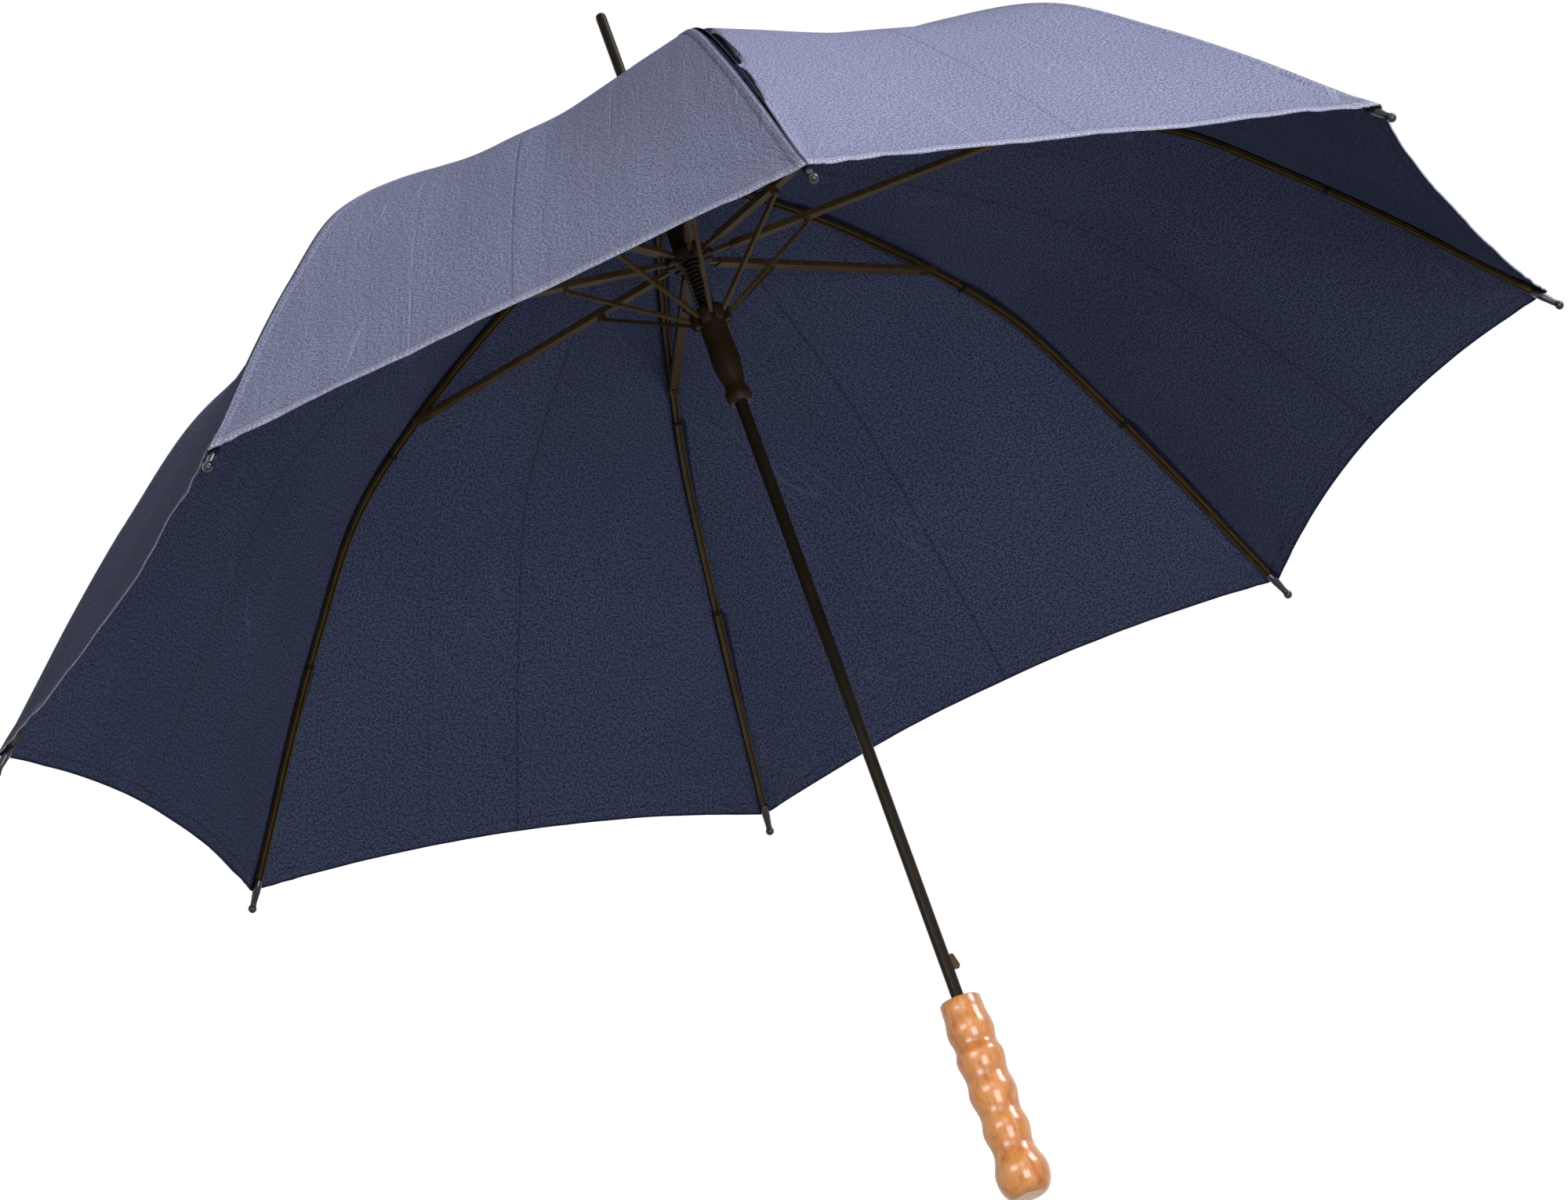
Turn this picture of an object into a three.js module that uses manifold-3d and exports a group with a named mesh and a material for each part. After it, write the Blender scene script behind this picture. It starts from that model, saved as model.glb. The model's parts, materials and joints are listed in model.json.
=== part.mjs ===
// Stick umbrella with eight ribs, opened. Millimetres, +Z along the shaft, z = 0 under the handle.
import * as THREE from 'three';
import { mergeVertices } from 'three/addons/utils/BufferGeometryUtils.js';
import Module from 'manifold-3d';

const wasm = await Module();
wasm.setup();

// sizes
const ribCount = 8;
const ribTurn = (2 * Math.PI) / ribCount;

const canopyRadius = 511;
const canopyRise = 254;
const rimHeight = 467;

// the rib's line, as shares of the radius and of the rise over the rim
const ribLineShares = [
  [0.0196, 1.0],
  [0.118, 0.997],
  [0.284, 0.957],
  [0.4932, 0.8465],
  [0.6383, 0.7203],
  [0.7595, 0.5102],
  [0.8583, 0.3122],
  [0.9294, 0.1559],
  [1.0, 0.0],
];
const ribJointShare = 0.4932;

const runningGap = 0.4;
const seatGap = 0.3;
const panelGap = 0.4;
const facetGap = 0.9;

const shaftRadius = 4;
const shaftWall = 0.8;
const woodUnderShaft = 42;
const shaftOverNotch = 7;
const slidingBore = shaftRadius + runningGap;

const handleHeight = 132;
const handleBottomRadius = 8.5;
const handleKnobRadius = 17.2;
const handleKnobShare = 0.1144;
const handleRimRadius = 13.2;
// share of the handle's height and radius, of each valley and crest from the knob up
const handleRings = [
  [0.2462, 13.3],
  [0.3402, 15],
  [0.425, 13.3],
  [0.5265, 15.3],
  [0.6106, 13.8],
  [0.7068, 15.4],
  [0.7727, 13.7],
  [0.8439, 15.1],
  [0.947, 13.5],
];

const latchWidth = 2.4;
const latchHeight = 10;
const latchReach = 4.2;
const latchBackWidth = 2;
const latchOverHandle = 21;

const ferruleRadius = 3.55;
const ferruleLength = 111.2;
const ferruleSpigotRadius = 2.8;
const ferruleSpigotLength = 26;

const capRadius = 21;
const capHeight = 3.2;
const capThickness = 1.6;

const notchRadius = 13.5;
const notchUnderPivot = 4;
const notchOverPivot = 4.5;
const notchSlotRoof = 2.2;
const notchSlotFloor = 7;
const notchWireRadius = 0.5;
const notchWireGroove = 0.9;

const ribWidth = 4.4;
const ribDepth = 3.5;
const ribWall = 0.8;
const ribTongueWidth = 2.4;
const ribTongueLength = 13;
const ribEyeRadius = 1.75;
const ribEyeBore = 0.85;
const ribTenonLength = 10;
const ribTenonShare = 0.6;
const ribSteps = 15;

const tipRadius = 2.75;
const tipWall = 0.7;
const tipBallRadius = 3;
const tipReach = 14;
const tipSocket = 9;

const pinRadius = 0.75;
const pinBore = 1;
const pinHeadRadius = 1.3;
const pinHeadHeight = 0.45;

const stretcherWidth = 6.5;
const stretcherDepth = 4.2;
const stretcherWall = 0.6;
const stretcherForkLength = 11;
const stretcherTongueWidth = 3;
const stretcherTongueLength = 15;
const stretcherEyeRadius = 1.5;
const stretcherPastJoint = 3;

const collarPivotRadius = 14;
const collarPivotDrop = 60;
const collarRimOver = 1.6;
const collarHubHeight = 7;
const collarSlotFloor = 9.6;
const collarSleeveRadius = 7.9;
const collarSleeveHeight = 46;
const collarRoof = 4;

const springRadius = 6.15;
const springWireRadius = 0.55;
const springTurns = 28;
const springLeadTurns = 0.25;

const runnerPivotRadius = 11.5;
const runnerPivotDrop = 44;
const runnerOverPivot = 5;
const runnerHeight = 67;
const runnerCrownRadius = 13.5;
const runnerCrownHeight = 11;
const runnerBodyRadius = 9.3;
const runnerNeckRadius = 8.8;
const runnerWaistRadius = 6.6;
const runnerBeadRadius = 8.2;
const runnerSlotFloor = 9.2;

const linkPivotOnStretcher = 67;
const linkWidth = 2.8;
const linkDepth = 2.4;
const linkEyeRadius = 1.6;
const linkEarWall = 0.7;
const slotWidth = 3.8;

const clothThickness = 0.6;
const clothCrownRadius = 6.5;
const clothCrownReach = 55;
const clothTipReach = 24;
const clothSag = 6;
const clothHemArchShare = 0.031;
const clothRows = 15;
const clothColumns = 3;

// places that follow from the sizes
const notchPivotRadius = ribLineShares[0][0] * canopyRadius;
const notchPivotHeight = rimHeight + canopyRise;
const collarPivotHeight = notchPivotHeight - collarPivotDrop;
const runnerPivotHeight = collarPivotHeight - runnerPivotDrop;
const runnerTop = runnerPivotHeight + runnerOverPivot;
const collarBottom = collarPivotHeight - collarHubHeight / 2;
const collarTop = collarBottom + collarHubHeight + collarSleeveHeight;
const shaftTop = notchPivotHeight + notchOverPivot + shaftOverNotch;
const shaftBottom = woodUnderShaft + seatGap;
const latchBottom = handleHeight + latchOverHandle;
const notchTop = notchPivotHeight + notchOverPivot;
const linkPivotBelow = stretcherDepth / 2 + stretcherWall + linkEyeRadius + runningGap;

// helpers
function closed(geometry) {
  const bare = geometry.index ? geometry.toNonIndexed() : geometry;
  bare.deleteAttribute('normal');
  bare.deleteAttribute('uv');
  return mergeVertices(bare, 1e-5);
}

function toManifold(geometry) {
  const merged = closed(geometry);
  return new wasm.Manifold(new wasm.Mesh({
    numProp: 3,
    vertProperties: new Float32Array(merged.attributes.position.array),
    triVerts: new Uint32Array(merged.index.array),
  }));
}

function toGeometry(manifold) {
  const mesh = manifold.getMesh();
  const geometry = new THREE.BufferGeometry();
  const points = new Float32Array(mesh.numVert * 3);
  for (let i = 0; i < mesh.numVert; i += 1) {
    for (let k = 0; k < 3; k += 1) {
      points[3 * i + k] = mesh.vertProperties[mesh.numProp * i + k];
    }
  }
  geometry.setAttribute('position', new THREE.BufferAttribute(points, 3));
  geometry.setIndex(new THREE.BufferAttribute(new Uint32Array(mesh.triVerts), 1));
  return geometry;
}

function volumeOf(geometry) {
  const flat = geometry.index ? geometry.toNonIndexed() : geometry;
  const p = flat.attributes.position;
  const a = new THREE.Vector3();
  const b = new THREE.Vector3();
  const c = new THREE.Vector3();
  let sum = 0;
  for (let i = 0; i < p.count; i += 3) {
    a.fromBufferAttribute(p, i);
    b.fromBufferAttribute(p, i + 1);
    c.fromBufferAttribute(p, i + 2);
    sum += a.dot(b.cross(c)) / 6;
  }
  return sum;
}

function outward(geometry) {
  const merged = closed(geometry);
  if (volumeOf(merged) < 0) {
    const list = merged.index.array;
    for (let i = 0; i < list.length; i += 3) {
      [list[i], list[i + 1]] = [list[i + 1], list[i]];
    }
  }
  return merged;
}

// a turned body about +Z from [radius, height] pairs
function turned(profile, sides) {
  const points = profile.map(([r, z]) => new THREE.Vector2(r, z));
  const geometry = new THREE.LatheGeometry(points, sides);
  geometry.rotateX(Math.PI / 2);
  return outward(geometry);
}

function block(x0, x1, y0, y1, z0, z1) {
  const geometry = new THREE.BoxGeometry(x1 - x0, y1 - y0, z1 - z0);
  geometry.translate((x0 + x1) / 2, (y0 + y1) / 2, (z0 + z1) / 2);
  return geometry;
}

// a round bar along Y
function crossBar(radius, length, x, z, sides = 8) {
  const geometry = new THREE.CylinderGeometry(radius, radius, length, sides);
  geometry.translate(x, 0, z);
  return geometry;
}

// rings of [x, y, z] points joined into one closed body with flat ends
function lofted(rings, section) {
  const n = rings[0].length;
  const position = [];
  const index = [];
  rings.forEach((ring) => ring.forEach((p) => position.push(...p)));
  for (let i = 0; i + 1 < rings.length; i += 1) {
    for (let j = 0; j < n; j += 1) {
      const k = (j + 1) % n;
      const a = i * n + j;
      const b = i * n + k;
      index.push(a, b, b + n, a, b + n, a + n);
    }
  }
  const outline = section.map(([u, v]) => new THREE.Vector2(u, v));
  const last = (rings.length - 1) * n;
  THREE.ShapeUtils.triangulateShape(outline, []).forEach(([a, b, c]) => {
    index.push(a, c, b, last + a, last + b, last + c);
  });
  const geometry = new THREE.BufferGeometry();
  geometry.setAttribute('position', new THREE.Float32BufferAttribute(position, 3));
  geometry.setIndex(index);
  return outward(geometry);
}

function joined(first, others = [], cuts = []) {
  let body = toManifold(first);
  others.forEach((g) => {
    body = body.add(toManifold(g));
  });
  cuts.forEach((g) => {
    body = body.subtract(toManifold(g));
  });
  return toGeometry(body);
}

function turnedAbout(geometry, angle) {
  const copy = geometry.clone();
  copy.rotateZ(angle);
  return copy;
}

const everyRib = Array.from({ length: ribCount }, (_, i) => i * ribTurn);

// materials
function surface(color, roughness, metalness) {
  return new THREE.MeshStandardMaterial({ color, roughness, metalness });
}

function named(name, geometry, material) {
  const mesh = new THREE.Mesh(geometry, material);
  mesh.name = name;
  return mesh;
}

// the rib's line
const ribLine = new THREE.CatmullRomCurve3(ribLineShares.map(([r, z]) => new THREE.Vector3(
  r * canopyRadius,
  0,
  rimHeight + z * canopyRise,
)), false, 'centripetal');
ribLine.arcLengthDivisions = 400;
const ribLength = ribLine.getLength();

function ribPoint(share) {
  return ribLine.getPointAt(Math.min(Math.max(share, 0), 1));
}

// unit vector out of the line's upper side
function ribNormal(share) {
  const t = ribLine.getTangentAt(Math.min(Math.max(share, 0), 1));
  return new THREE.Vector3(-t.z, 0, t.x).normalize();
}

// share of the length at which the line reaches a radius
function shareAtRadius(radius) {
  let low = 0;
  let high = 1;
  for (let i = 0; i < 40; i += 1) {
    const middle = (low + high) / 2;
    if (ribPoint(middle).x < radius) {
      low = middle;
    } else {
      high = middle;
    }
  }
  return (low + high) / 2;
}

const jointShareOfLength = shareAtRadius(ribJointShare * canopyRadius);
const ribJoint = ribPoint(jointShareOfLength);

// shaft, handle, latch, ferrule
function shaftBody() {
  const inner = shaftRadius - shaftWall;
  const tube = turned([
    [inner, shaftBottom],
    [shaftRadius, shaftBottom],
    [shaftRadius, shaftTop],
    [inner, shaftTop],
    [inner, shaftBottom],
  ], 20);
  const half = latchWidth / 2 + runningGap;
  const window = block(
    -half,
    half,
    0,
    2 * shaftRadius,
    latchBottom - runningGap,
    latchBottom + latchHeight + runningGap,
  );
  return joined(tube, [], [window]);
}

function handleBody() {
  const knobHeight = handleHeight * handleKnobShare;
  const profile = [[0, 0], [handleBottomRadius, 0]];
  const knobSteps = 5;
  for (let i = 1; i <= knobSteps; i += 1) {
    const a = (Math.PI * i) / (2 * knobSteps);
    const r = handleBottomRadius + (handleKnobRadius - handleBottomRadius) * Math.sin(a);
    profile.push([r, knobHeight * (1 - Math.cos(a))]);
  }
  const ringSteps = 3;
  let below = [handleKnobShare, handleKnobRadius];
  for (const ring of handleRings) {
    for (let i = 1; i <= ringSteps; i += 1) {
      const t = i / ringSteps;
      const wave = (1 - Math.cos(Math.PI * t)) / 2;
      const share = below[0] + (ring[0] - below[0]) * t;
      profile.push([below[1] + (ring[1] - below[1]) * wave, handleHeight * share]);
    }
    below = ring;
  }
  profile.push([handleRimRadius, handleHeight]);
  const bore = shaftRadius + seatGap;
  profile.push([bore, handleHeight]);
  profile.push([bore, woodUnderShaft]);
  profile.push([0, woodUnderShaft]);
  return turned(profile, 24);
}

function latchBody() {
  const back = shaftRadius - shaftWall - runningGap;
  const out = shaftRadius + latchReach;
  const low = latchBottom;
  const high = latchBottom + latchHeight;
  const lip = latchHeight * 0.18;
  const outline = new THREE.Shape();
  outline.moveTo(back - latchBackWidth, low - lip);
  outline.lineTo(back - lip / 4, low - lip);
  outline.lineTo(back - lip / 4, low);
  outline.lineTo(out - lip / 2, low);
  outline.lineTo(out, low + lip);
  outline.lineTo(out - lip, high - lip / 3);
  outline.lineTo(out - 1.4 * lip, high);
  outline.lineTo(back - lip / 4, high);
  outline.lineTo(back - lip / 4, high + lip);
  outline.lineTo(back - latchBackWidth, high + lip);
  outline.closePath();
  const geometry = new THREE.ExtrudeGeometry(outline, { depth: latchWidth, bevelEnabled: false });
  geometry.translate(0, 0, -latchWidth / 2);
  geometry.rotateX(Math.PI / 2);
  geometry.rotateZ(Math.PI / 2);
  return outward(geometry);
}

function ferruleBody() {
  const base = shaftTop + seatGap;
  const top = base + ferruleLength;
  const round = ferruleRadius;
  return turned([
    [0, shaftTop - ferruleSpigotLength],
    [ferruleSpigotRadius, shaftTop - ferruleSpigotLength],
    [ferruleSpigotRadius, base],
    [ferruleRadius, base],
    [ferruleRadius, top - round],
    [ferruleRadius * 0.9, top - round * 0.45],
    [ferruleRadius * 0.6, top - round * 0.12],
    [0, top],
  ], 16);
}

// crown cap, notch, wire
const clothTopAtCrown = notchTop + seatGap + clothThickness;

function capBody() {
  const low = clothTopAtCrown + seatGap;
  const hub = shaftRadius + seatGap;
  return turned([
    [hub, low],
    [capRadius, low],
    [capRadius, low + capThickness / 2],
    [capRadius * 0.8, low + capThickness],
    [capRadius * 0.45, low + capThickness * 1.2],
    [capRadius * 0.36, low + capHeight],
    [hub, low + capHeight],
    [hub, low],
  ], 24);
}

function notchBody() {
  const low = notchPivotHeight - notchUnderPivot;
  const bore = shaftRadius + seatGap;
  const disc = turned([
    [bore, low],
    [notchRadius, low],
    [notchRadius, notchTop],
    [bore, notchTop],
    [bore, low],
  ], 32);
  const half = ribTongueWidth / 2 + runningGap;
  const slot = block(
    notchSlotFloor,
    2 * notchRadius,
    -half,
    half,
    low - notchUnderPivot,
    notchTop - notchSlotRoof,
  );
  const groove = turned([
    [notchPivotRadius - notchWireGroove, low - notchUnderPivot],
    [notchPivotRadius + notchWireGroove, low - notchUnderPivot],
    [notchPivotRadius + notchWireGroove, notchPivotHeight + notchWireGroove],
    [notchPivotRadius - notchWireGroove, notchPivotHeight + notchWireGroove],
    [notchPivotRadius - notchWireGroove, low - notchUnderPivot],
  ], 32);
  return joined(disc, [], [groove, ...everyRib.map((a) => turnedAbout(slot, a))]);
}

// a ring of straight runs, one square to each rib and one between each two
function wireBody() {
  const runs = 2 * ribCount;
  const section = Array.from({ length: 6 }, (_, i) => [
    notchWireRadius * Math.cos((i * Math.PI) / 3),
    notchWireRadius * Math.sin((i * Math.PI) / 3),
  ]);
  const geometry = new THREE.LatheGeometry(
    [...section, section[0]].map(([u, v]) => new THREE.Vector2(
      (notchPivotRadius + u) / Math.cos(Math.PI / runs),
      v,
    )),
    runs,
  );
  geometry.rotateX(Math.PI / 2);
  geometry.rotateZ(Math.PI / runs);
  geometry.translate(0, 0, notchPivotHeight);
  return outward(geometry);
}

// collar, spring, runner
function collarBody() {
  const rim = collarPivotRadius + collarRimOver;
  const pocket = springRadius + springWireRadius + seatGap;
  const roofLow = collarTop - collarRoof;
  const hubTop = collarBottom + collarHubHeight;
  const body = turned([
    [pocket, collarBottom],
    [rim, collarBottom],
    [rim, hubTop - collarRimOver],
    [rim - collarRimOver, hubTop],
    [collarSleeveRadius, hubTop],
    [collarSleeveRadius, collarTop],
    [slidingBore, collarTop],
    [slidingBore, roofLow],
    [pocket, roofLow],
    [pocket, collarBottom],
  ], 32);
  const slot = block(
    collarSlotFloor,
    2 * rim,
    -slotWidth / 2,
    slotWidth / 2,
    collarBottom - collarHubHeight,
    hubTop + collarHubHeight,
  );
  return joined(body, [], everyRib.map((a) => turnedAbout(slot, a)));
}

const springBottom = runnerTop + seatGap;
const springTop = collarTop - collarRoof - seatGap;

// one unbroken tube: eight steps of five sides a turn, its ends cut square
function springBody() {
  const perTurn = 8;
  const low = springBottom + springWireRadius;
  const high = springTop - springWireRadius;
  const pitch = (high - low) / (springTurns - 2 * springLeadTurns);
  const steps = Math.round(springTurns * perTurn);
  const centre = (i) => {
    const turn = Math.min(Math.max(i / perTurn, 0), springTurns);
    const climb = Math.min(Math.max(turn - springLeadTurns, 0), springTurns - 2 * springLeadTurns);
    const a = 2 * Math.PI * turn;
    return new THREE.Vector3(
      springRadius * Math.cos(a),
      springRadius * Math.sin(a),
      low + climb * pitch,
    );
  };
  const rings = [];
  const section = Array.from({ length: 5 }, (_, k) => [
    springWireRadius * Math.cos((2 * Math.PI * k) / 5),
    springWireRadius * Math.sin((2 * Math.PI * k) / 5),
  ]);
  const lead = new THREE.Vector3(0, -2 * springWireRadius, 0);
  const ringAt = (p) => {
    const out = new THREE.Vector3(p.x, p.y, 0).normalize();
    return section.map(([u, v]) => [p.x + out.x * u, p.y + out.y * u, p.z + v]);
  };
  const first = centre(0);
  rings.push(section.map(([u, v]) => [first.x + u, first.y + lead.y, first.z + v]));
  for (let i = 0; i <= steps; i += 1) {
    rings.push(ringAt(centre(i)));
  }
  const end = centre(steps);
  const endOut = new THREE.Vector3(end.x, end.y, 0).normalize();
  const along = new THREE.Vector3(-endOut.y, endOut.x, 0).multiplyScalar(-lead.y);
  rings.push(section.map(([u, v]) => [
    end.x + along.x + endOut.x * u,
    end.y + along.y + endOut.y * u,
    end.z + v,
  ]));
  console.log('spring: least gap between turns', (pitch - 2 * springWireRadius).toFixed(2), 'mm');
  return lofted(rings, section);
}

function runnerBody() {
  const low = runnerTop - runnerHeight;
  const at = (share) => low + share * runnerHeight;
  const crownLow = runnerTop - runnerCrownHeight;
  const body = turned([
    [slidingBore, low],
    [runnerWaistRadius, low],
    [runnerBeadRadius, at(0.05)],
    [runnerBeadRadius, at(0.12)],
    [runnerWaistRadius, at(0.165)],
    [runnerWaistRadius, at(0.2)],
    [runnerWaistRadius + (runnerBodyRadius - runnerWaistRadius) * 0.55, at(0.29)],
    [runnerBodyRadius, at(0.41)],
    [runnerBodyRadius, at(0.52)],
    [runnerNeckRadius, at(0.66)],
    [runnerNeckRadius, at(0.76)],
    [runnerNeckRadius, crownLow - runningGap],
    [runnerCrownRadius * 0.9, crownLow],
    [runnerCrownRadius, crownLow + runnerCrownHeight * 0.3],
    [runnerCrownRadius, runnerTop - runnerCrownHeight * 0.2],
    [runnerCrownRadius * 0.9, runnerTop],
    [slidingBore, runnerTop],
    [slidingBore, low],
  ], 32);
  const slot = block(
    runnerSlotFloor,
    2 * runnerCrownRadius,
    -slotWidth / 2,
    slotWidth / 2,
    crownLow - runnerCrownHeight,
    runnerTop + runnerCrownHeight,
  );
  return joined(body, [], everyRib.map((a) => turnedAbout(slot, a)));
}

// rib, tip, stretcher, link: in the plane y = 0, outward along +X
function ribBody() {
  const w = ribWidth / 2;
  const h = ribDepth / 2;
  const section = [
    [-w, -h],
    [-w + ribWall, -h],
    [-w + ribWall, h - ribWall],
    [w - ribWall, h - ribWall],
    [w - ribWall, -h],
    [w, -h],
    [w, h],
    [-w, h],
  ];
  const start = ribTongueLength / ribLength;
  const tenon = 1 - ribTenonLength / ribLength;
  const shares = [];
  for (let i = 0; i <= ribSteps; i += 1) {
    shares.push(start + ((tenon - start) * i) / ribSteps);
  }
  const ringAt = (share, scale) => {
    const p = ribPoint(share);
    const n = ribNormal(share);
    return section.map(([u, v]) => [p.x + n.x * v * scale, u * scale, p.z + n.z * v * scale]);
  };
  const rings = shares.map((s) => ringAt(s, 1));
  rings.push(ringAt(tenon + 0.1 * (1 - tenon), ribTenonShare));
  rings.push(ringAt(1, ribTenonShare));
  const bar = lofted(rings, section);
  const pivot = new THREE.Vector3(notchPivotRadius, 0, notchPivotHeight);
  const far = ribPoint(start * 1.2);
  const tongueLength = far.distanceTo(pivot);
  const tongue = block(0, tongueLength, -ribTongueWidth / 2, ribTongueWidth / 2, -h, h - ribWall / 2);
  tongue.rotateY(Math.atan2(pivot.z - far.z, far.x - pivot.x));
  tongue.translate(pivot.x, 0, pivot.z);
  return joined(
    bar,
    [tongue, crossBar(ribEyeRadius, ribTongueWidth, pivot.x, pivot.z, 10)],
    [
      crossBar(ribEyeBore, 2 * ribWidth, pivot.x, pivot.z),
      crossBar(pinBore, 2 * ribWidth, ribJoint.x, ribJoint.z),
    ],
  );
}

function tipBody() {
  const bore = tipRadius - tipWall;
  const profile = [
    [bore, -tipSocket],
    [tipRadius, -tipSocket],
    [tipRadius, 0],
    [tipRadius * 0.8, tipReach * 0.35],
    [tipRadius * 0.8, tipReach - 1.7 * tipBallRadius],
    [tipBallRadius, tipReach - tipBallRadius],
    [tipBallRadius, tipReach - 0.45 * tipBallRadius],
    [tipBallRadius * 0.6, tipReach],
    [0, tipReach],
  ];
  const geometry = turned([...profile, [0, seatGap], [bore, seatGap], [bore, -tipSocket]], 10);
  const end = ribPoint(1);
  const t = ribLine.getTangentAt(1);
  geometry.rotateY(Math.atan2(t.x, t.z));
  geometry.translate(end.x, end.y, end.z);
  return geometry;
}

const collarPivot = new THREE.Vector3(collarPivotRadius, 0, collarPivotHeight);
const stretcherLength = collarPivot.distanceTo(ribJoint);
const stretcherSlope = Math.atan2(ribJoint.z - collarPivot.z, ribJoint.x - collarPivot.x);

// built along +X from the collar's pivot, then turned up to the rib's joint
function placeOnStretcher(geometry) {
  geometry.rotateY(-stretcherSlope);
  geometry.translate(collarPivot.x, 0, collarPivot.z);
  return geometry;
}

function stretcherBody() {
  const w = stretcherWidth / 2;
  const low = -stretcherDepth / 2 - stretcherWall;
  const high = stretcherDepth / 2 - stretcherWall;
  const start = stretcherTongueLength - stretcherWall;
  const end = stretcherLength + stretcherPastJoint;
  const side = new THREE.Shape();
  side.moveTo(start, low);
  side.lineTo(stretcherLength, low + stretcherWall);
  side.lineTo(end, low + 2 * stretcherWall);
  side.lineTo(end, -stretcherWall);
  side.lineTo(stretcherLength, high);
  side.lineTo(start, high);
  side.closePath();
  const bar = new THREE.ExtrudeGeometry(side, { depth: stretcherWidth, bevelEnabled: false });
  bar.rotateX(Math.PI / 2);
  bar.translate(0, w, 0);
  const hollow = w - stretcherWall;
  const tongueHalf = stretcherTongueWidth / 2;
  const tongue = block(
    0,
    start + 2 * stretcherWall,
    -tongueHalf,
    tongueHalf,
    -stretcherEyeRadius,
    stretcherEyeRadius,
  );
  const web = stretcherWall + low;
  const earOut = linkWidth / 2 + runningGap + linkEarWall;
  const earIn = linkWidth / 2 + runningGap;
  const earLow = -linkPivotBelow - linkEyeRadius;
  const ear = (y0, y1) => block(
    linkPivotOnStretcher - linkEyeRadius,
    linkPivotOnStretcher + linkEyeRadius,
    y0,
    y1,
    earLow,
    web,
  );
  const headLength = stretcherWidth + 2 * pinHeadHeight;
  const heads = joined(
    crossBar(pinHeadRadius, headLength, stretcherLength, 0),
    [],
    [crossBar(2 * pinHeadRadius, 2 * hollow, stretcherLength, 0)],
  );
  const shell = joined(
    bar,
    [],
    [
      block(start + 2 * stretcherWall, 2 * end, -hollow, hollow, web, 2 * stretcherDepth),
      block(stretcherLength - stretcherForkLength, 2 * end, -hollow, hollow, 2 * low, 0),
    ],
  );
  return placeOnStretcher(joined(shell, [
    tongue,
    crossBar(stretcherEyeRadius, stretcherTongueWidth, 0, 0),
    ear(-earOut, -earIn),
    ear(earIn, earOut),
    crossBar(pinRadius, 2 * earOut, linkPivotOnStretcher, -linkPivotBelow, 6),
    crossBar(pinRadius, stretcherWidth, stretcherLength, 0, 6),
    heads,
  ]));
}

const linkOuter = (() => {
  const point = new THREE.Vector3(linkPivotOnStretcher, 0, -linkPivotBelow);
  point.applyAxisAngle(new THREE.Vector3(0, 1, 0), -stretcherSlope);
  return point.add(collarPivot);
})();
const linkInner = new THREE.Vector3(runnerPivotRadius, 0, runnerPivotHeight);

function linkBody() {
  const length = linkOuter.distanceTo(linkInner);
  const w = linkWidth / 2;
  const d = linkDepth / 2;
  const geometry = joined(
    block(0, length, -w, w, -d, d),
    [
      crossBar(linkEyeRadius, linkWidth, 0, 0),
      crossBar(linkEyeRadius, linkWidth, length, 0, 10),
    ],
    [crossBar(pinBore, 2 * linkWidth, length, 0)],
  );
  geometry.rotateY(-Math.atan2(linkOuter.z - linkInner.z, linkOuter.x - linkInner.x));
  geometry.translate(linkInner.x, 0, linkInner.z);
  return geometry;
}

// cloth: half of a sewn panel, from a rib to the panel's middle
function smooth(x) {
  const t = Math.min(Math.max(x, 0), 1);
  return t * t * (3 - 2 * t);
}

// underside of the cloth over the rib, as [radius, height]
function clothOverRib(share) {
  const p = ribPoint(share);
  const n = ribNormal(share);
  const overTip = tipRadius - ribDepth / 2;
  const nearTip = smooth((share * ribLength - (ribLength - clothTipReach)) / (clothTipReach / 2));
  const overEdge = (ribWidth / 2) * Math.tan(ribTurn / 2) * n.x;
  const lift = ribDepth / 2 + seatGap + facetGap + overEdge + overTip * nearTip;
  const r = p.x + n.x * lift;
  const z = p.z + n.z * lift;
  const crown = 1 - smooth((r - notchRadius - seatGap) / clothCrownReach);
  const over = Math.max(notchTop + seatGap - z, 0);
  return [r, z + over * crown];
}

function clothPoint(along, across) {
  const bow = 4 * across * (1 - across);
  const share = along * (1 - clothHemArchShare * bow);
  const [r, z] = clothOverRib(share);
  const inner = clothCrownRadius;
  const crown = 1 - smooth(along * 3);
  const radius = Math.max(r, inner) - (notchPivotRadius - inner) * crown;
  const x0 = radius;
  const x1 = radius * Math.cos(ribTurn);
  const y1 = radius * Math.sin(ribTurn);
  const sag = clothSag * bow * smooth(along * 2.5);
  const middle = ribTurn / 2;
  const slope = ribNormal(share);
  return new THREE.Vector3(
    x0 + (x1 - x0) * across - sag * slope.x * Math.cos(middle),
    y1 * across - sag * slope.x * Math.sin(middle),
    z - sag * slope.z,
  );
}

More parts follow.
